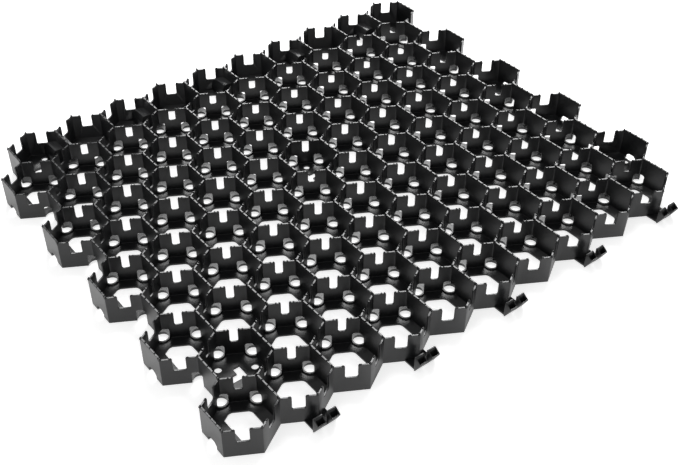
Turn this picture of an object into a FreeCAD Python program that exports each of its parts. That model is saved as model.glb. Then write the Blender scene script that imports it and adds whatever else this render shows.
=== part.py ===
# Grass paver grid: one moulded plastic sheet of open hexagonal cells, laid flat and filled with
# soil or gravel. Millimetres, +Z up, X along the straight rows of cells. The sheet lies on z = 0 and
# the origin is the middle of its footprint, its edge clips included.
import FreeCAD, Part
import math
import os

# Lattice of cells
rows = 10                     # rows of cells, every second one shifted by half a cell
columns = 10                  # cells in a row
pitch = 66.5                  # from cell centre to cell centre, across the flats
wall = 2.2                    # thickness of every upright wall
height = 39.6                 # from the ground to the top of the straight walls
slant_drop = 2.0              # the walls that slant to the rows are lower by this

# Floor flange round the foot of each cell
floor_thickness = 2.4
floor_opening = 38.6          # across the flats of the opening in an ordinary cell
floor_stop = 10.0             # from the middle of a cell to the straight edge of the floor behind a slot

# Notches in the tops of the slanting walls
inner_notch_width = 8.8       # between two cells
outer_notch_width = 13.6      # round the outside of the sheet
notch_depth = 17.0            # from the top of the slanting wall

# Drain holes on the corners of the lattice, where three walls meet
drain_diameter = 16.0
drain_height = 16.0           # the walls that meet over a drain hole start at this height

# Slots through the foot of the straight walls on the two ends
slot_length = 15.0
slot_height = 8.0
slot_corner = 3.5             # cut off each top corner

# Closed floors with fixing holes
pin_diameter = 8.0            # round holes for ground pins
pin_circle = 45.0             # diameter of the circle they lie on
pin_count = 3
cross_length = 24.0           # hole in the shape of a plus sign, in the middle cell
cross_width = 8.0
angle_width = 8.3             # angled hole in the other closed cells
angle_length = 20.5           # along the row, from the outside of the angle
angle_depth = 16.5            # across the row
angle_right = 9.7             # from the middle of the cell to the outside of the angle
angle_front = 5.5

# Clips along the front edge, on every second cell: a plate on a web, with two hooks on its face
clip_first = 1                # place of the first cell with a clip
clip_every = 2
clip_width = 28.0
clip_reach = 10.7             # from the corner of the cell to the face of the plate
clip_height = 20.0
clip_shell = 1.6              # thickness of the plate, its side gussets and the walls of the hooks
clip_web = 2.4
hook_reach = 7.3              # from the plate to the lip
hook_drop = 5.0               # from the top of the plate down to the lip
hook_lip = 1.5                # height of the lip
hook_gap = 3.0                # slot between the hooks, for a wall of the next sheet

# Sockets along the back edge, which take the clips of the next sheet
socket_clearance = 0.8        # all round the clip
socket_shell = 1.6
socket_chamfer = 3.5          # slope of the sides of the roof, across
socket_chamfer_drop = 8.0     # and down
socket_arch = 6.0             # height of the way in under the walls

overrun = 3.0                 # how far a cut runs past the faces that it opens

side = pitch / math.sqrt(3)
row_step = side * 1.5
UP = FreeCAD.Vector(0, 0, 1)


def at(x, y, z=0.0):
    """Point or direction."""
    return FreeCAD.Vector(x, y, z)


def cell_centre(row, column):
    """Middle of a cell, with the first cell of the first row at zero."""
    shift = pitch / 2 if row % 2 else 0
    return at(column * pitch + shift, row * row_step)


def corner(row, column, number):
    """Corner of a cell on the wall centre lines: 0 is at the back, then clockwise seen from above."""
    turn = math.radians(60 * number)
    return cell_centre(row, column) + at(side * math.sin(turn), side * math.cos(turn))


def polygon(points):
    """Closed wire through the points."""
    return Part.makePolygon(points + points[:1])


def prism(points, depth):
    """Upright prism on an outline."""
    return Part.Face(polygon(points)).extrude(UP * depth)


def hexagon(centre, across_flats):
    """Corners of a hexagon with two flats square to X."""
    radius = across_flats / math.sqrt(3)
    turns = [math.radians(60 * number) for number in range(6)]
    return [centre + at(radius * math.sin(turn), radius * math.cos(turn)) for turn in turns]


def all_cells():
    """Row and column of every cell."""
    return [(row, column) for row in range(rows) for column in range(columns)]


def middle_cell():
    """Row and column of the closed cell in the middle of the sheet."""
    return rows // 2, columns // 2 - 1


def closed_cells():
    """Cells with a closed floor, four near the corners and the middle one, with the turn of their pins."""
    last_row, last_column = rows - 1, columns - 1
    half_step = math.pi / pin_count
    return {
        (1, 0): 0, (1, last_column): 0, (last_row, 0): half_step, (last_row, last_column): 0,
        middle_cell(): half_step}


def spot(point):
    """Whole numbers that are the same for points in the same place."""
    return round(point.x / wall), round(point.y / wall)


def boundary():
    """Corners of the lattice round the outside, counter-clockwise seen from above."""
    points = []
    for column in range(columns):
        points += [corner(0, column, 4), corner(0, column, 3)]
    for row in range(rows):
        points += [corner(row, columns - 1, 2), corner(row, columns - 1, 1)]
    for column in reversed(range(columns)):
        points += [corner(rows - 1, column, 0), corner(rows - 1, column, 5)]
    for row in reversed(range(rows)):
        points += [corner(row, 0, 5), corner(row, 0, 4)]
    path = []
    for point in points:
        if not any(point.distanceToPoint(other) < side / 2 for other in path):
            path.append(point)
    return path


def outline():
    """Outside of the outer walls: the boundary moved out by half a wall."""
    path = boundary()
    points = []
    for number, here in enumerate(path):
        before, after = path[number - 1], path[(number + 1) % len(path)]
        arriving = (here - before).normalize()
        leaving = (after - here).normalize()
        square_arriving = at(arriving.y, -arriving.x)
        square_leaving = at(leaving.y, -leaving.x)
        middle = (square_arriving + square_leaving).normalize()
        points.append(here + middle * (wall / 2 / middle.dot(square_arriving)))
    return points


def slanting_bands():
    """Zigzag prisms that lower the tops of the slanting walls, one between two rows and one on each edge."""
    bands = []
    for row in range(rows + 1):
        found = {}
        for column in range(columns):
            ends = []
            if row > 0:
                ends += [corner(row - 1, column, number) for number in (5, 0, 1)]
            if row < rows:
                ends += [corner(row, column, number) for number in (4, 3, 2)]
            for point in ends:
                found.setdefault(spot(point), point)
        path = sorted(found.values(), key=lambda point: point.x)
        path = [path[0] - at(overrun, 0)] + path + [path[-1] + at(overrun, 0)]
        lift = UP * (height - slant_drop)
        back = [point + at(0, wall) + lift for point in path]
        front = [point - at(0, wall) + lift for point in reversed(path)]
        bands.append(prism(back + front, slant_drop + overrun))
    return bands


def block_with_cells():
    """Solid sheet with lower tops over the slanting walls and every cell sunk into it down to the floor."""
    block = prism(outline(), height).cut(Part.makeCompound(slanting_bands()))
    cells = []
    for row, column in all_cells():
        centre = cell_centre(row, column) + UP * floor_thickness
        cells.append(prism(hexagon(centre, pitch - wall), height))
    return block.cut(Part.makeCompound(cells))


def slotted_cells():
    """Cells that stand out at the two ends, with the side, left or right, of their outer wall."""
    return [(row, 0, -1) if row % 2 == 0 else (row, columns - 1, 1) for row in range(rows)]


def floor_openings():
    """Hexagonal prisms that open the floors, apart from the closed ones."""
    closed = closed_cells()
    ends = {(row, column): outward for row, column, outward in slotted_cells()}
    depth = floor_thickness + 2 * overrun
    tools = []
    for row, column in all_cells():
        if (row, column) in closed:
            continue
        centre = cell_centre(row, column) - UP * overrun
        opening = prism(hexagon(centre, floor_opening), depth)
        if (row, column) in ends:
            outward = ends[row, column]
            kept = Part.makeBox(floor_opening, 2 * floor_opening, depth)
            start = floor_stop - floor_opening if outward > 0 else -floor_stop
            kept.translate(centre + at(start, -floor_opening))
            opening = opening.common(kept)
        tools.append(opening)
    return tools


def notch_tool(start, end, width):
    """Box that cuts one notch in the top of the wall between two corners."""
    along = (end - start).normalize() * (width / 2)
    across = at(-along.y, along.x).normalize() * wall
    middle = (start + end) * 0.5 + UP * (height - slant_drop - notch_depth)
    points = [
        middle - along - across, middle + along - across, middle + along + across, middle - along + across]
    return prism(points, slant_drop + notch_depth + overrun)


def notches():
    """A notch in every wall that slants to the rows, wider where the wall belongs to one cell only."""
    walls = {}
    for row, column in all_cells():
        for first, second in ((0, 1), (2, 3), (3, 4), (5, 0)):
            start, end = corner(row, column, first), corner(row, column, second)
            walls.setdefault(spot((start + end) * 0.5), []).append((start, end))
    tools = []
    for copies in walls.values():
        start, end = copies[0]
        tools.append(notch_tool(start, end, outer_notch_width if len(copies) == 1 else inner_notch_width))
    return tools


def shared_corners():
    """Corners that two or three cells share, each once, with the direction of one of its walls."""
    found = {}
    for row, column in all_cells():
        for number in range(6):
            point = corner(row, column, number)
            straight = at(0, 1) if number % 2 == 0 else at(0, -1)
            found.setdefault(spot(point), []).append((point, straight))
    return [places[0] for places in found.values() if len(places) > 1]


def drain_outline(point, straight):
    """Nine-sided round hole with a flat exactly as wide as the wall across each of the three walls."""
    radius = drain_diameter / 2
    half_flat = math.asin(wall / 2 / radius)
    first_wall = math.atan2(straight.y, straight.x)
    points = []
    for number in range(3):
        turn = first_wall + math.radians(120 * number)
        for angle in (turn - half_flat, turn + half_flat, turn + math.radians(60)):
            points.append(point + at(radius * math.cos(angle), radius * math.sin(angle)))
    return points


def drains():
    """Upright prisms that cut the drain holes. The front and back edges of the sheet have none."""
    front, back = -side / 4, (rows - 1) * row_step + side / 4
    tools = []
    for point, straight in shared_corners():
        if front < point.y < back:
            tools.append(prism(drain_outline(point - UP * overrun, straight), drain_height + overrun))
    return tools


def end_slots():
    """Prisms that cut the slots in the outer straight walls."""
    half = slot_length / 2
    outline_points = [
        (-half, -overrun), (half, -overrun), (half, slot_height - slot_corner),
        (half - slot_corner, slot_height), (slot_corner - half, slot_height),
        (-half, slot_height - slot_corner)]
    tools = []
    for row, column, outward in slotted_cells():
        start = cell_centre(row, column) + at((outward * pitch - wall) / 2 - overrun, 0)
        points = [start + at(0, y, z) for y, z in outline_points]
        tools.append(Part.Face(polygon(points)).extrude(at(wall + 2 * overrun, 0)))
    return tools


def bars(centre, places, depth):
    """Upright boxes, each on its low corner and size in X and Y."""
    return [Part.makeBox(size_x, size_y, depth, centre + at(x, y)) for x, y, size_x, size_y in places]


def fixing_holes():
    """Holes in the closed floors: a ring of round ones, and a plus sign or an angle in the middle."""
    cross = [
        (-cross_length / 2, -cross_width / 2, cross_length, cross_width),
        (-cross_width / 2, -cross_length / 2, cross_width, cross_length)]
    angle = [
        (angle_right - angle_length, -angle_front, angle_length, angle_width),
        (angle_right - angle_width, -angle_front, angle_width, angle_depth)]
    tools = []
    depth = floor_thickness + 2 * overrun
    for (row, column), first_turn in closed_cells().items():
        centre = cell_centre(row, column) - UP * overrun
        for number in range(pin_count):
            turn = first_turn + 2 * math.pi / pin_count * number
            place = centre + at(math.cos(turn), math.sin(turn)) * (pin_circle / 2)
            tools.append(Part.makeCylinder(pin_diameter / 2, depth, place, UP))
        tools += bars(centre, cross if (row, column) == middle_cell() else angle, depth)
    return tools


def slab(place, low_x, high_x, profile):
    """Flat piece square to X, between two places along the edge, on a profile of (y, z) points."""
    points = [place + at(low_x, y, z) for y, z in profile]
    return Part.Face(polygon(points)).extrude(at(high_x - low_x, 0))


def hook(place, low_x, high_x):
    """Wedge on the face of a clip's plate, hollow and open at the top."""
    face = -clip_reach
    lip = face - hook_reach
    lip_top = clip_height - hook_drop
    lip_foot = lip_top - hook_lip
    wedge = slab(place, low_x, high_x, [(face, 0), (face, clip_height), (lip, lip_top), (lip, lip_foot)])
    under = math.hypot(hook_reach, lip_foot)
    pocket_foot = clip_shell * under / hook_reach
    pocket_end = lip + clip_shell
    pocket_rise = (face - pocket_end) / hook_reach * lip_foot
    pocket = slab(place, low_x + clip_shell, high_x - clip_shell, [
        (face, pocket_foot), (face, clip_height + overrun), (pocket_end, clip_height + overrun),
        (pocket_end, pocket_foot + pocket_rise)])
    return wedge.cut(pocket)


def clip(row, column):
    """Clip on the front corner of a cell: web, plate in two halves, two gussets and two hooks."""
    place = corner(row, column, 3)
    half = clip_width / 2
    wall_slope = 1 / math.sqrt(3)
    face, back = -clip_reach, clip_shell - clip_reach
    web = prism([
        place, place + at(-half, half * wall_slope), place + at(-half, face), place + at(half, face),
        place + at(half, half * wall_slope)], clip_web)
    pieces = [web]
    gusset = [(half * wall_slope, 0), (half * wall_slope, clip_web), (back, clip_height), (back, 0)]
    plate = [(face, 0), (face, clip_height), (back, clip_height), (back, 0)]
    for low_x, high_x in ((-half, -hook_gap / 2), (hook_gap / 2, half)):
        pieces.append(slab(place, low_x, high_x, plate))
        pieces.append(hook(place, low_x, high_x))
    for low_x in (-half, half - clip_shell):
        pieces.append(slab(place, low_x, low_x + clip_shell, gusset))
    return pieces


def socket_form(place, shrink, front_gap):
    """Outside or inside of a socket: a block with a sloping roof, inside the two outer walls."""
    half = clip_width / 2 + socket_clearance + socket_shell - shrink
    reach = clip_reach + hook_reach + socket_clearance + socket_shell - shrink
    top = clip_height + socket_clearance + socket_shell - shrink
    wall_slope = 1 / math.sqrt(3)
    plan = prism([
        place + at(0, -front_gap), place + at(-half, half * wall_slope - front_gap),
        place + at(-half, -reach), place + at(half, -reach),
        place + at(half, half * wall_slope - front_gap)], top)
    shoulder = top - socket_chamfer_drop
    profile = [
        (-half, 0), (-half, shoulder), (socket_chamfer - half, top), (half - socket_chamfer, top),
        (half, shoulder), (half, 0)]
    front = place - at(0, reach)
    roof = Part.Face(polygon([front + at(x, 0, z) for x, z in profile])).extrude(at(0, 2 * reach))
    return plan.common(roof)


def socket_cuts(place):
    """Hollows on both sides of the wall that the socket straddles, and the way in under the walls."""
    half = clip_width / 2 + socket_clearance
    outer_face = wall / math.sqrt(3)
    hollow = socket_form(place, socket_shell, outer_face)
    kept = Part.makeBox(wall, 2 * pitch, height, place - at(wall / 2, pitch))
    arch = Part.makeBox(
        2 * half, clip_reach + half + socket_clearance, socket_arch + overrun,
        place - at(half, clip_reach + socket_clearance, overrun))
    return [hollow.cut(kept), arch]


def sheet():
    """The whole moulding."""
    body = block_with_cells()
    edge, cuts = [], []
    for column in range(clip_first, columns, clip_every):
        edge += clip(0, column)
        place = corner(rows - 1, column - 1, 1)
        edge.append(socket_form(place, 0, 0))
        cuts += socket_cuts(place)
    body = body.fuse(edge)
    body = body.cut(Part.makeCompound(floor_openings() + notches() + drains()))
    return body.cut(cuts + end_slots() + fixing_holes())


def main():
    """Build the sheet, move it to its origin and write it."""
    os.makedirs("parts", exist_ok=True)
    body = sheet().removeSplitter()
    box = body.BoundBox
    body.translate(at(-box.Center.x, -box.Center.y, -box.ZMin))
    print("solids", len(body.Solids), "volume", round(body.Volume), "box", box)
    body.exportStep("parts/paver_grid.step")


main()
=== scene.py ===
# %% [markdown]
# # Grass paver grid
#
# The object is a sheet of black plastic honeycomb. It is laid on a drive and filled with soil or
# gravel. This lesson builds its looks in Blender round a solid model that is already packed, so
# every size here is in metres and every piece goes exactly where the solid says.

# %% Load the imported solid
import bpy
import math
from mathutils import Matrix, Vector
from mathutils.kdtree import KDTree


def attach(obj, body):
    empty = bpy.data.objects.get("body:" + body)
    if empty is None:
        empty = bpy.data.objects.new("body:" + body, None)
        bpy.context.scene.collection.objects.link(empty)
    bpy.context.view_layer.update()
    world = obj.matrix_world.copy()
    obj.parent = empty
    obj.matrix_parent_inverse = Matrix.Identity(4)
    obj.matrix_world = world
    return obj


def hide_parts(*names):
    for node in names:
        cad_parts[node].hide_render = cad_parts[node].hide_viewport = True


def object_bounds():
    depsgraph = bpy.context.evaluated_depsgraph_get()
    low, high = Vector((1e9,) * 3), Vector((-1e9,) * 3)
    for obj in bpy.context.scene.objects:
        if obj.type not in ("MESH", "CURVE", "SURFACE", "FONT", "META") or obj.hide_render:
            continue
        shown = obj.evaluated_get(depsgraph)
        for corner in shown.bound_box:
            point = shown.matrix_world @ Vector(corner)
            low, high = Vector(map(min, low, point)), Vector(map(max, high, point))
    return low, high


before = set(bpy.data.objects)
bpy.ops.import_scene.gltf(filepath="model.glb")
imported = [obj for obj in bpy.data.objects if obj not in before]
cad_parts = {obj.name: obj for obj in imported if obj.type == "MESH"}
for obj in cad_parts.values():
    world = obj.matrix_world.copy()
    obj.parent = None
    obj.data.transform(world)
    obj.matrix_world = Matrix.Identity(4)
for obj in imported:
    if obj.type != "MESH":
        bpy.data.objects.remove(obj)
cad_low, cad_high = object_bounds()
mm = 0.001
print("solid box in mm", [round(v / mm, 1) for v in (*cad_low, *cad_high)])

# %% [markdown]
# ## The lattice
#
# The sheet has ten rows of ten hexagonal cells, each second row pushed half a cell to the right.
# Every place could be written down as a number, but two short functions that give the middle and the
# corners of any cell say the same with less, and all later steps place things by them.

# %% Places in the lattice
rows, columns = 10, 10
pitch = 66.5 * mm                         # from cell to cell in a row
side = pitch / math.sqrt(3)               # length of one wall of a cell
wall = 2.2 * mm                           # thickness of a wall
ridge = cad_high.z                        # height of the tops of the straight walls
left_reach = 34.35 * mm                   # from the middle of the first cell to the left of the sheet
back_reach = 557.98 * mm                  # and to its back
first_cell = Vector((cad_low.x + left_reach, cad_high.y - back_reach, 0))


def cell_centre(row, column):
    """Middle of a cell, on the ground."""
    shift = pitch / 2 if row % 2 else 0
    return first_cell + Vector((column * pitch + shift, row * side * 1.5, 0))


def corner(row, column, number):
    """Corner of a cell: 0 is at the back, then clockwise seen from above."""
    turn = math.radians(60 * number)
    return cell_centre(row, column) + Vector((math.sin(turn), math.cos(turn), 0)) * side


print("first cell", first_cell, "last cell", cell_centre(rows - 1, columns - 1))

# %% [markdown]
# ## Camera
#
# The photograph looks down at the sheet from over its near corner with a long lens. A camera could be
# turned by eye until it looks right, but a lattice shows every small error, so this one is worked
# out from the corners of the cells. The picture is cut a little off its middle, which is what the
# small shift does.

# %% Camera
camera_data = bpy.data.cameras.new("camera")
camera = bpy.data.objects.new("camera", camera_data)
bpy.context.scene.collection.objects.link(camera)
bpy.context.scene.camera = camera
camera.location = first_cell + Vector((-4.9005 * pitch, -8.4452 * pitch, 11.336 * pitch + ridge))
camera.rotation_euler = [math.radians(v) for v in (50.332, 0.095, -37.646)]
camera_data.lens = 53.43
camera_data.shift_x = 0.0200
camera_data.shift_y = -0.0089
camera_data.clip_end = 20
bpy.context.scene.view_settings.view_transform = "Standard"
print("camera at", camera.location)

# %% [markdown]
# ## Shader helpers
#
# A material can be drawn as boxes and wires in the shader editor, but in a script it is easier to
# read as a formula. The first class wraps one output of a node, and adds the node that each sign of
# arithmetic stands for. The second adds any other kind of node.


# %% Shader helpers
class Wire:
    """One output of a node, which can be added, subtracted and multiplied."""

    def __init__(self, tree, socket):
        self.tree = tree
        self.socket = socket

    def math(self, operation, first, second):
        node = self.tree.nodes.new("ShaderNodeMath")
        node.operation = operation
        for slot, value in zip(node.inputs, (first, second)):
            plug(self.tree, slot, value)
        return Wire(self.tree, node.outputs[0])

    def __add__(self, other):
        return self.math("ADD", self, other)

    __radd__ = __add__

    def __sub__(self, other):
        return self.math("SUBTRACT", self, other)

    def __rsub__(self, other):
        return self.math("SUBTRACT", other, self)

    def __mul__(self, other):
        return self.math("MULTIPLY", self, other)

    __rmul__ = __mul__


def plug(tree, slot, value):
    """Link a wire to an input, or set the input to a value."""
    if isinstance(value, Wire):
        tree.links.new(value.socket, slot)
    else:
        slot.default_value = value


class Material:
    """A node material, with one method for every kind of node."""

    def __init__(self, name):
        self.data = bpy.data.materials.new(name)
        self.data.use_nodes = True
        self.tree = self.data.node_tree
        self.tree.nodes.clear()

    def node(self, kind, inputs, settings=None, output=0):
        """Add a node. Its settings are set first, then its inputs by name or number."""
        node = self.tree.nodes.new("ShaderNode" + kind)
        for name, value in (settings or {}).items():
            setattr(node, name, value)
        for name, value in inputs.items():
            plug(self.tree, node.inputs[name], value)
        if node.outputs:
            return Wire(self.tree, node.outputs[output])
        return None


print("helpers ready")

# %% [markdown]
# ## Floor and backdrop
#
# The photograph is cut out on pure white, with only a soft shadow round the foot of the sheet. More
# lamps would make a floor as white, but would also bleach the plastic. So the floor is an ordinary
# pale white, and what the camera and the reflections see of it gets a little light of its own. It
# comes out white, and the shadow stays.

# %% Floor and backdrop
white = (1, 1, 1, 1)
floor_white = (0.8, 0.8, 0.8, 1)
floor_glow = 0.68                         # light of its own, where 1 alone would be white
sky_strength = 0.42
just_under = -0.0002                      # the floor is a hair lower than the sheet


def seen_directly(material):
    """One for the camera, for reflections and for what is seen through glass, and else zero."""
    path = material.tree.nodes.new("ShaderNodeLightPath")
    rays = [Wire(material.tree, path.outputs[name]) for name in (
        "Is Camera Ray", "Is Glossy Ray", "Is Transmission Ray")]
    return rays[0] + rays[1] + rays[2]


bpy.ops.mesh.primitive_plane_add(size=30, location=(0, 0, just_under))
floor = bpy.context.object
floor.name = "floor"
floor_paint = Material("floor white")
lit = floor_paint.node("BsdfDiffuse", {"Color": floor_white})
glow = floor_paint.node("Emission", {"Color": white, "Strength": seen_directly(floor_paint) * floor_glow})
both = floor_paint.node("AddShader", {0: lit, 1: glow})
floor_paint.node("OutputMaterial", {"Surface": both})
floor.data.materials.append(floor_paint.data)

world = bpy.data.worlds.new("studio")
bpy.context.scene.world = world
world.use_nodes = True
world.node_tree.nodes["Background"].inputs["Color"].default_value = white
world.node_tree.nodes["Background"].inputs["Strength"].default_value = sky_strength
print("floor", floor.dimensions)

# %% [markdown]
# ## Lamps
#
# Black plastic has little colour of its own, so most of what the eye reads on it is reflection. One
# soft lamp stands behind the sheet on the right. The camera sees it mirrored in the flat tops of the
# walls, which makes them the lightest part of the lattice, and it throws the shadow to the front and
# the left. A weak lamp on the left fills in. Several small lamps could light the sheet as well, but
# each would leave its own hard glint on every wall.


# %% Lamps
def soft_lamp(name, place, size, watts):
    """A square lamp that faces the middle of the sheet."""
    data = bpy.data.lights.new(name, "AREA")
    data.size = size
    data.energy = watts
    lamp = bpy.data.objects.new(name, data)
    bpy.context.scene.collection.objects.link(lamp)
    lamp.location = place
    lamp.rotation_euler = Vector(place).to_track_quat("Z", "Y").to_euler()
    return lamp


lamps = [soft_lamp("back lamp", (1.3, 1.35, 1.5), size=1.9, watts=84),
         soft_lamp("left lamp", (-1.8, 0.2, 2.2), size=1.6, watts=4)]
print("lamps", [lamp.name for lamp in lamps])

# %% [markdown]
# ## Black plastic
#
# Recycled polyethylene is a charcoal black with a soft sheen. Its colour clouds a little and its
# surface is very finely uneven. The flat tops of the walls are a little smoother, and they are
# painted a lighter grey, a painted highlight where they mirror the lamp. A photographed texture
# could show all this, but it would have to be wrapped round a thousand small walls. Patterns worked
# out from the place of each point need no wrapping and stay sharp at any distance. The painted
# highlight is placed in the same way: on faces that look straight up, well above the floor.

# %% Black plastic
dark, light = (0.009, 0.0094, 0.010, 1), (0.015, 0.0156, 0.017, 1)
# A lighter grey painted on the flat tops of the walls: a painted highlight where they mirror the back lamp
painted_highlight_grey = (0.062, 0.063, 0.065, 1)
plastic = Material("black plastic")
position = plastic.node("TexCoord", {}, output="Object")
height_above = plastic.node("SeparateXYZ", {"Vector": position}, output="Z")
clouds = plastic.node("TexNoise", {"Vector": position, "Scale": 14.0, "Detail": 3.0})
grain = plastic.node("TexNoise", {"Vector": position, "Scale": 1800.0, "Detail": 2.0})
ripple = plastic.node("TexNoise", {"Vector": position, "Scale": 220.0, "Detail": 2.0})
facing = plastic.node("NewGeometry", {}, output="Normal")
upward = plastic.node("SeparateXYZ", {"Vector": facing}, output="Z")
flat = plastic.node("MapRange", {"Value": upward, "From Min": 0.85, "From Max": 0.97})
high = plastic.node("MapRange", {"Value": height_above, "From Min": 12 * mm, "From Max": 14 * mm})
# Where the painted highlight goes: faces that look up and lie well above the floor, which are also made
# smoother
painted_highlight_tops = flat * high

# The colours of a Mix node are its inputs 6 and 7, and its output 2
clear = plastic.node("Mix", {0: clouds, 6: dark, 7: light}, {"data_type": "RGBA"}, output=2)
tone = plastic.node("Mix", {0: painted_highlight_tops, 6: clear, 7: painted_highlight_grey}, {"data_type": "RGBA"}, output=2)
bump = plastic.node("Bump", {"Strength": 0.35, "Distance": 0.2 * mm, "Height": grain * 0.4 + ripple * 0.6})
surface = plastic.node("BsdfPrincipled", {
    "Base Color": tone, "Roughness": 0.30 + clouds * 0.12 - painted_highlight_tops * 0.13, "Normal": bump})
plastic.node("OutputMaterial", {"Surface": surface})
print("nodes in the plastic", len(plastic.tree.nodes))

# %% [markdown]
# ## The moulded grid
#
# The real sheet is one moulding. The solid already has every wall, notch and hole of it in place, but
# all its edges are dead sharp. The sheet could be modelled once more from a hexagon, but a copy of
# the solid is sure to fit. It comes as loose triangles, so their shared points are merged first.

# %% Copy of the solid
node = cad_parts["paver_grid"]
grid = bpy.data.objects.new("grid", node.data.copy())
bpy.context.scene.collection.objects.link(grid)


def edit(piece, kind="EDGE"):
    """Make a piece the only selected object and open it in edit mode, on its edges or as asked."""
    if bpy.context.object and bpy.context.object.mode == "EDIT":
        bpy.ops.object.mode_set(mode="OBJECT")
    bpy.ops.object.select_all(action="DESELECT")
    piece.select_set(True)
    bpy.context.view_layer.objects.active = piece
    bpy.context.tool_settings.mesh_select_mode = [kind == name for name in ("VERT", "EDGE", "FACE")]
    bpy.ops.object.mode_set(mode="EDIT")


edit(grid)
bpy.ops.mesh.select_all(action="SELECT")
bpy.ops.mesh.remove_doubles(threshold=0.005 * mm)
bpy.ops.object.mode_set(mode="OBJECT")
print("faces in the copy", len(grid.data.polygons))

# %% [markdown]
# ## Corners that cells share
#
# Up to three cells meet at one corner of the lattice, and that is where the real sheet has its drain
# holes. Asking every cell for its six corners names most places two or three times. The places are
# rounded to whole numbers and used as the keys of a dictionary, which brings the repeats together
# and also tells how many cells meet there.


# %% Corners of the lattice and drain holes
def place_key(point):
    """Whole numbers that are the same for points in the same place."""
    return round(point.x / wall), round(point.y / wall)


shared = {}
for row in range(rows):
    for column in range(columns):
        for number in range(6):
            place = corner(row, column, number)
            shared.setdefault(place_key(place), []).append(place)
front_edge = first_cell.y - side / 4
back_edge = cell_centre(rows - 1, 0).y + side / 4
drain_places = [found[0] for found in shared.values()
                if len(found) > 1 and front_edge < found[0].y < back_edge]
print("corners", len(shared), "drain holes", len(drain_places))

# %% [markdown]
# ## Round drain holes
#
# On the real sheet the drain holes are round, and the solid has them with nine sides. Their points
# could be pushed outwards one by one, but the walls that stand over them would have to be mended
# too. A slightly wider cylinder, cut out at every corner by one boolean modifier, does both. It is
# turned by half a side, so that every wall meets a flat side squarely, which leaves no slivers.


# %% Cut the drain holes round
def select_none(piece):
    """Clear the selection in a piece, and leave edit mode."""
    edit(piece)
    bpy.ops.mesh.select_all(action="DESELECT")
    bpy.ops.object.mode_set(mode="OBJECT")


def cut_away(piece, tool):
    """Cut a tool out of a piece with a boolean modifier, and delete the tool."""
    cut = piece.modifiers.new("cut", "BOOLEAN")
    cut.operation = "DIFFERENCE"
    cut.object = tool
    cut.solver = "EXACT"
    select_none(piece)
    bpy.ops.object.modifier_apply(modifier=cut.name)
    bpy.data.objects.remove(tool)
    print("faces after the cut", len(piece.data.polygons))


def copies_joined(model, matrices, name):
    """Copy a piece to every place, join the copies and delete the first one."""
    copies = []
    for matrix in matrices:
        copy = bpy.data.objects.new(name, model.data.copy())
        copy.data.transform(matrix)
        bpy.context.scene.collection.objects.link(copy)
        copies.append(copy)
    bpy.data.objects.remove(model)
    bpy.ops.object.select_all(action="DESELECT")
    for copy in copies:
        copy.select_set(True)
    bpy.context.view_layer.objects.active = copies[0]
    bpy.ops.object.join()
    joined = bpy.context.object
    joined.name = name
    print(name, len(copies), "copies,", len(joined.data.polygons), "faces")
    return joined


drain_top = 16 * mm                       # the walls that meet over a drain start at this height
drain_radius = 8.2 * mm
drain_sides = 18
bpy.ops.object.select_all(action="DESELECT")
bpy.ops.mesh.primitive_cylinder_add(
    vertices=drain_sides, radius=drain_radius, depth=drain_top * 2, location=(0, 0, 0),
    rotation=(0, 0, math.radians(180 / drain_sides)))
drill = bpy.context.object
bpy.ops.object.transform_apply(location=False, rotation=True, scale=False)
cut_away(grid, copies_joined(drill, [Matrix.Translation(place) for place in drain_places], "drills"))

# %% [markdown]
# ## Make room for finer clips
#
# Five clips stick out of the front edge. The solid has plain ones. They could be carved finer where
# they are, but it is easier to cut them off and model a new one at the origin, further down. The saw
# is a block whose back is pulled to a V, so that it stops just in front of the two walls that the
# clip grows from.


# %% Cut off the plain clips
def block(low, high):
    """Add a block between two corners, in millimetres."""
    low, high = Vector(low) * mm, Vector(high) * mm
    bpy.ops.object.select_all(action="DESELECT")
    bpy.ops.mesh.primitive_cube_add(size=1, location=(low + high) / 2)
    bpy.ops.transform.resize(value=high - low)
    bpy.ops.object.transform_apply(location=True, rotation=False, scale=True)
    return bpy.context.object


def split(piece, place, across):
    """Cut all faces of a piece along a plane, through a place in millimetres."""
    edit(piece)
    bpy.ops.mesh.select_all(action="SELECT")
    bpy.ops.mesh.bisect(plane_co=Vector(place) * mm, plane_no=across)
    bpy.ops.object.mode_set(mode="OBJECT")


def pull(piece, test, shift):
    """Move the points of a piece that pass a test, by millimetres."""
    select_none(piece)
    for vertex in piece.data.vertices:
        vertex.select = test(vertex.co / mm)
    edit(piece, "VERT")
    bpy.ops.transform.translate(value=Vector(shift) * mm)
    bpy.ops.object.mode_set(mode="OBJECT")


clip_places = [Matrix.Translation(corner(0, column, 3)) for column in range(1, columns, 2)]
wall_slope = 1 / math.sqrt(3)
saw_half = 14.3                           # in mm, a little more than half a clip
saw_gap = 1.3                             # from the corner of the lattice to the cut
saw = block((-saw_half, -19, -1), (saw_half, 0, 21))
split(saw, (0, 0, 0), (1, 0, 0))
pull(saw, lambda point: point.y > -1, (0, -saw_gap, 0))
pull(saw, lambda point: point.y > -2 and abs(point.x) > 1, (0, saw_half * wall_slope, 0))
cut_away(grid, copies_joined(saw, clip_places, "saws"))

# %% [markdown]
# ## Merge the triangles
#
# The walls and floors of the real sheet are plain flat faces, and here they are still triangles, on
# which a bevel would run astray. Limited dissolve joins them into whole faces. The floor would
# become one face with hundreds of holes, and a face can't have holes, so the sheet is first cut along
# straight lines that pass through every hole. On the floor these are marked as seams, which the
# dissolve doesn't cross.

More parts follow.
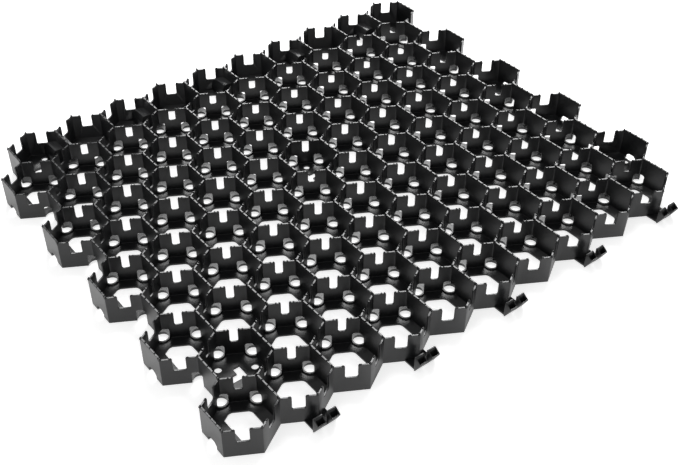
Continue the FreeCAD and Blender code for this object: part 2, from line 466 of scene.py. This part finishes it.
# %% Merge flat triangles, cell by cell
floor_top = 2.4 * mm
line_shift = 5.2 * mm                     # from the middle of each half cell to a cut
line_shifts_in_row = (-17.8, 1, 17.8)     # in mm, from the middle of each row
cuts_x = [first_cell.x + (number - 1) * pitch / 2 + line_shift for number in range(2 * columns + 2)]
cuts_y = [cell_centre(row, 0).y + shift * mm for row in range(rows) for shift in line_shifts_in_row]
planes = [((x, 0, 0), (1, 0, 0)) for x in cuts_x] + [((0, y, 0), (0, 1, 0)) for y in cuts_y]
edit(grid)
for place, across in planes:
    bpy.ops.mesh.select_all(action="SELECT")
    bpy.ops.mesh.bisect(plane_co=place, plane_no=across, threshold=0.001 * mm)
bpy.ops.object.mode_set(mode="OBJECT")


def same(value, other):
    """True for two lengths that differ by less than a hundredth of a millimetre."""
    return abs(value - other) < 0.01 * mm


for edge in grid.data.edges:
    first, second = (grid.data.vertices[number].co for number in edge.vertices)
    if all(same(point.z, 0) or same(point.z, floor_top) for point in (first, second)):
        along_y = same(first.x, second.x) and any(same(first.x, cut) for cut in cuts_x)
        along_x = same(first.y, second.y) and any(same(first.y, cut) for cut in cuts_y)
        edge.use_seam = along_y or along_x
edit(grid)
bpy.ops.mesh.select_all(action="SELECT")
bpy.ops.mesh.dissolve_limited(angle_limit=math.radians(0.5), delimit={"SEAM"})
bpy.ops.mesh.remove_doubles(threshold=0.1 * mm)
bpy.ops.object.mode_set(mode="OBJECT")
print("faces after merging", len(grid.data.polygons))

# %% [markdown]
# ## Rounding by hand
#
# On the real sheet the openings in the floors have wide round corners, the notches have small
# fillets, the windows over the drains are arched and the cells have a fillet down every crease. One
# bevel for all would be too small for the openings or too big for the notches. Each of these is a
# family of edges that can be told by its place, so each family is selected and bevelled in turn.

# %% Where a point lies in the lattice
cell_middles = KDTree(rows * columns)
for number in range(rows * columns):
    cell_middles.insert(cell_centre(number // columns, number % columns), number)
cell_middles.balance()
wall_corners = KDTree(len(shared))
for number, found in enumerate(shared.values()):
    wall_corners.insert(found[0], number)
wall_corners.balance()


def flat_distance(tree, point):
    """Distance on the ground to the nearest point of a tree."""
    return tree.find(Vector((point.x, point.y, 0)))[2]


def upright(first, second, low, high):
    """True for an upright edge between two heights."""
    ends = sorted((first.z, second.z))
    same_place = abs(first.x - second.x) + abs(first.y - second.y) < 0.02 * mm
    return same_place and abs(ends[0] - low) < 0.1 * mm and abs(ends[1] - high) < 0.1 * mm


print("cells", rows * columns, "corners", len(shared))

# %% The families of edges
opening_radius = 38.6 * mm / math.sqrt(3)
low_ridge = ridge - 2 * mm                # tops of the walls that slant to the rows
notch_foot = low_ridge - 17 * mm


def opening_corner(first, second):
    """True for an edge in a corner of a floor opening."""
    return (upright(first, second, 0, floor_top)
            and abs(flat_distance(cell_middles, first) - opening_radius) < 0.3 * mm)


def notch_corner(first, second):
    """True for an edge across a wall, at the top or the foot of a notch."""
    level = abs(first.z - second.z) < 0.02 * mm
    short = abs((first - second).length - wall) < 0.1 * mm
    return level and short and min(abs(first.z - low_ridge), abs(first.z - notch_foot)) < 0.1 * mm


def in_window_top(point):
    """True for a point at the top of the window over a drain."""
    in_reach = drain_radius + 0.1 * mm
    return abs(point.z - drain_top) < 0.05 * mm and flat_distance(wall_corners, point) < in_reach


def window_corner(first, second):
    """True for an edge in an upper corner of such a window."""
    beyond = drain_radius - 0.2 * mm
    return all(in_window_top(point) and flat_distance(wall_corners, point) > beyond
               for point in (first, second))


def crease(first, second):
    """True for an edge where two walls meet, over a drain."""
    return upright(first, second, drain_top, low_ridge) and flat_distance(wall_corners, first) < 2 * mm


print("notches stop at", round(notch_foot / mm, 1), "mm")


# %% Round each family
def round_edges(piece, test, width, segments):
    """Bevel the edges whose two ends pass a test."""
    select_none(piece)
    mesh = piece.data
    count = 0
    for edge in mesh.edges:
        first, second = (mesh.vertices[number].co for number in edge.vertices)
        edge.select = test(first, second)
        count += edge.select
    edit(piece)
    bpy.ops.mesh.bevel(offset_type="OFFSET", offset=width, segments=segments, affect="EDGES")
    bpy.ops.object.mode_set(mode="OBJECT")
    print(count, "edges rounded,", len(mesh.polygons), "faces")


# The windows are a little lower on the real sheet than in the solid
window_drop = 0.5
pull(grid, lambda point: in_window_top(point * mm), (0, 0, -window_drop))
drain_top -= window_drop * mm
round_edges(grid, opening_corner, width=3.4 * mm, segments=4)
round_edges(grid, notch_corner, width=1.5 * mm, segments=3)
round_edges(grid, window_corner, width=2.2 * mm, segments=3)
round_edges(grid, crease, width=1.0 * mm, segments=2)

# %% [markdown]
# ## A fine bevel on everything else
#
# A moulded edge is never quite sharp, and always catches a thin line of light. Thousands of edges are
# still sharp here, far too many to pick by their place, but a bevel modifier that is limited by
# angle finds them all. The grid then gets its finish and stands in for the solid.

# %% Fine bevel
smooth_below = math.radians(30)
edit(grid)
bpy.ops.object.mode_set(mode="OBJECT")
fine = grid.modifiers.new("fine bevel", "BEVEL")
fine.width = 0.3 * mm
fine.segments = 1
fine.limit_method = "ANGLE"
fine.angle_limit = math.radians(40)
fine.use_clamp_overlap = False
bpy.ops.object.modifier_apply(modifier=fine.name)
bpy.ops.object.shade_smooth_by_angle(angle=smooth_below)
print("faces with the fine bevel", len(grid.data.polygons))

grid.data.materials.clear()
grid.data.materials.append(plastic.data)
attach(grid, "root")
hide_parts("paver_grid")

# %% [markdown]
# ## Teeth
#
# Small teeth along the tops of the walls keep a tyre or a shoe from slipping. They could be a bump in
# the material, but they break the outline of every wall, so they have to be shapes. An array
# modifier could repeat one along a wall. Here one tooth is modelled at the origin, a block with its
# top drawn in, and a matrix for each place turns and moves a copy, which suits walls in three
# directions.


# %% One tooth
def delete_faces(piece, test):
    """Delete the faces that pass a test."""
    select_none(piece)
    for polygon in piece.data.polygons:
        polygon.select = test(polygon)
    edit(piece, "FACE")
    bpy.ops.mesh.delete(type="FACE")
    bpy.ops.object.mode_set(mode="OBJECT")


tooth_length = 2.2 * mm
tooth_height = 1.1 * mm
tooth_root = 0.7 * mm                     # depth to which it is sunk in the wall
tooth_taper = (0.35, 0.4, 1)              # size of its top, by the size of its foot
bpy.ops.mesh.primitive_cube_add(size=1)
tooth = bpy.context.object
bpy.ops.transform.resize(value=(tooth_length, wall, tooth_height + tooth_root))
bpy.ops.transform.translate(value=(0, 0, (tooth_height - tooth_root) / 2))
bpy.ops.object.transform_apply(location=True, rotation=False, scale=True)
select_none(tooth)
for edge in tooth.data.edges:
    edge.select = all(tooth.data.vertices[number].co.z > 0 for number in edge.vertices)
edit(tooth)
bpy.ops.transform.resize(value=tooth_taper)
bpy.ops.mesh.bevel(offset_type="OFFSET", offset=0.2 * mm, segments=1, affect="EDGES")
bpy.ops.object.mode_set(mode="OBJECT")
delete_faces(tooth, lambda polygon: polygon.normal.z < -0.9)
print("faces of one tooth", len(tooth.data.polygons))

# %% Teeth on every wall
straight_walls, slanting_walls = {}, {}
for row in range(rows):
    for column in range(columns):
        for number in range(6):
            start, end = corner(row, column, number), corner(row, column, (number + 1) % 6)
            middle = (start + end) / 2
            family = straight_walls if number in (1, 4) else slanting_walls
            family.setdefault(place_key(middle), []).append((start, end))


def tooth_at(start, end, distance, height):
    """Matrix that turns a tooth along a wall and puts it some way along it."""
    along = (end - start).normalized()
    turn = Matrix.Rotation(math.atan2(along.y, along.x), 4, "Z")
    return Matrix.Translation(start + along * distance + Vector((0, 0, height))) @ turn


def dress(piece):
    """Give a piece the black plastic, soft shading and a place on the sheet."""
    piece.data.materials.append(plastic.data)
    edit(piece)
    bpy.ops.object.mode_set(mode="OBJECT")
    bpy.ops.object.shade_smooth_by_angle(angle=smooth_below)
    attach(piece, "root")


tooth_places = []
half_notch_outside, half_notch_inside = 6.8 * mm, 4.4 * mm
for found in straight_walls.values():
    start, end = found[0]
    for share in (0.25, 0.5, 0.75):
        tooth_places.append(tooth_at(start, end, side * share, ridge))
for found in slanting_walls.values():
    start, end = found[0]
    half_notch = half_notch_outside if len(found) == 1 else half_notch_inside
    shoulder = side / 2 - half_notch - 1.5 * mm
    for distance in (side / 4, shoulder):
        tooth_places.append(tooth_at(start, end, distance, low_ridge))
        tooth_places.append(tooth_at(start, end, side - distance, low_ridge))
dress(copies_joined(tooth, tooth_places, "teeth"))

# %% [markdown]
# ## Points
#
# Where the walls meet, the real sheet has a small blunt spike. A cone with its tip cut off is that
# shape already. Its foot is sunk in the corner of the walls, so that no gap shows.

# %% Points on the corners of the lattice
bpy.ops.mesh.primitive_cone_add(
    vertices=6, radius1=1.9 * mm, radius2=0.5 * mm, depth=3.2 * mm, end_fill_type="NGON",
    location=(0, 0, 0))
spike = bpy.context.object
lift = Vector((0, 0, low_ridge + 1.1 * mm))
dress(copies_joined(spike, [Matrix.Translation(found[0] + lift) for found in shared.values()], "points"))

# %% [markdown]
# ## Collars
#
# Every drain hole has a low raised collar round it, steep inside and sloping outside. A torus would
# be too round. A lathe is the natural tool, and with so few steps the same comes from a circle whose
# edge is extruded and scaled from one height to the next. At the outer walls a collar would stand
# out of the sheet, so the faces that do are deleted.

# %% Collar round every drain hole
collar_profile = ((7.6, 0.3), (6.9, 4.4), (8.7, 4.4), (10.2, 2.2))       # radius and height in mm
radius, height = collar_profile[0]
bpy.ops.mesh.primitive_circle_add(vertices=16, radius=radius * mm, location=(0, 0, height * mm))
collar = bpy.context.object
bpy.ops.object.transform_apply(location=True, rotation=False, scale=False)
edit(collar)
bpy.ops.mesh.select_all(action="SELECT")
for next_radius, next_height in collar_profile[1:]:
    bpy.ops.mesh.extrude_edges_move(TRANSFORM_OT_translate={"value": (0, 0, (next_height - height) * mm)})
    spread = next_radius / radius
    bpy.ops.transform.resize(value=(spread, spread, 1), center_override=(0, 0, 0))
    radius, height = next_radius, next_height
bpy.ops.mesh.select_all(action="SELECT")
bpy.ops.mesh.normals_make_consistent(inside=False)
bpy.ops.object.mode_set(mode="OBJECT")
top = max(collar.data.polygons, key=lambda polygon: polygon.center.z)
print("collar faces", len(collar.data.polygons), "top faces up:", top.normal.z > 0)
collars = copies_joined(collar, [Matrix.Translation(place) for place in drain_places], "drain_collars")

# %% Leave out what would stand outside the sheet
flats = [Vector((math.cos(math.radians(60 * number)), math.sin(math.radians(60 * number)), 0))
         for number in range(3)]


def outside(polygon):
    """True for a face whose middle lies in no cell."""
    centre = Vector((polygon.center.x, polygon.center.y, 0))
    offset = centre - cell_middles.find(centre)[0]
    return max(abs(offset.dot(flat)) for flat in flats) > pitch / 2 + 0.3 * mm


delete_faces(collars, outside)
dress(collars)
print("collar faces inside the sheet", len(collars.data.polygons))

# %% [markdown]
# ## Clips
#
# A clip is a flat web with two hooks at its end, hollow wedges that snap into the sockets of the next
# sheet. The hooks could be cut from a block by booleans, but a wedge is quicker to pull: the far edges
# of the block are moved to a narrow lip, and its top is inset and pushed down into a deep pocket. A
# mirror modifier makes the second hook.

# %% One hook
hook_inside, hook_outside = 3, 14         # in mm, from the middle line of the clip
plate_back, plate_front = -9.3, -10.7
lip_front = -18
hook_top = 20
lip_low, lip_high = 13.5, 15
hook = block((hook_inside, lip_front, 0), (hook_outside, plate_back, hook_top))
split(hook, (0, plate_front, 0), (0, 1, 0))
pull(hook, lambda point: point.y < -17 and point.z > 19, (0, 0, lip_high - hook_top))
pull(hook, lambda point: point.y < -17 and point.z < 1, (0, 0, lip_low))
select_none(hook)
for polygon in hook.data.polygons:
    polygon.select = polygon.normal.z > 0.5 and polygon.center.y < -11 * mm
edit(hook, "FACE")
bpy.ops.mesh.inset(thickness=1.1 * mm)
bpy.ops.mesh.extrude_region_move(TRANSFORM_OT_translate={"value": (0, 0, -3 * mm)})
bpy.ops.object.mode_set(mode="OBJECT")
pull(hook, lambda point: 4 < point.x < 13 and -14 < point.y < -11.1 and 14 < point.z < 17, (0, 0, -10))
pull(hook, lambda point: point.y < -16.5 and 15.2 < point.z < 16.4, (0, 0, -0.7))
print("faces of one hook", len(hook.data.polygons))

# %% Two hooks on a web
web_half = 13                             # in mm
twin = hook.modifiers.new("twin", "MIRROR")
twin.use_mirror_merge = False
web = block((-web_half, plate_front, 0), (web_half, 0, floor_top / mm))
split(web, (0, 0, 0), (1, 0, 0))
pull(web, lambda point: point.y > -1 and abs(point.x) > 1, (0, web_half * wall_slope, 0))
select_none(hook)
bpy.ops.object.modifier_apply(modifier=twin.name)
web.select_set(True)
bpy.ops.object.join()
soft = hook.modifiers.new("soft edges", "BEVEL")
soft.width = 0.25 * mm
soft.segments = 2
soft.limit_method = "ANGLE"
soft.angle_limit = math.radians(30)
bpy.ops.object.modifier_apply(modifier=soft.name)
dress(copies_joined(hook, clip_places, "clips"))
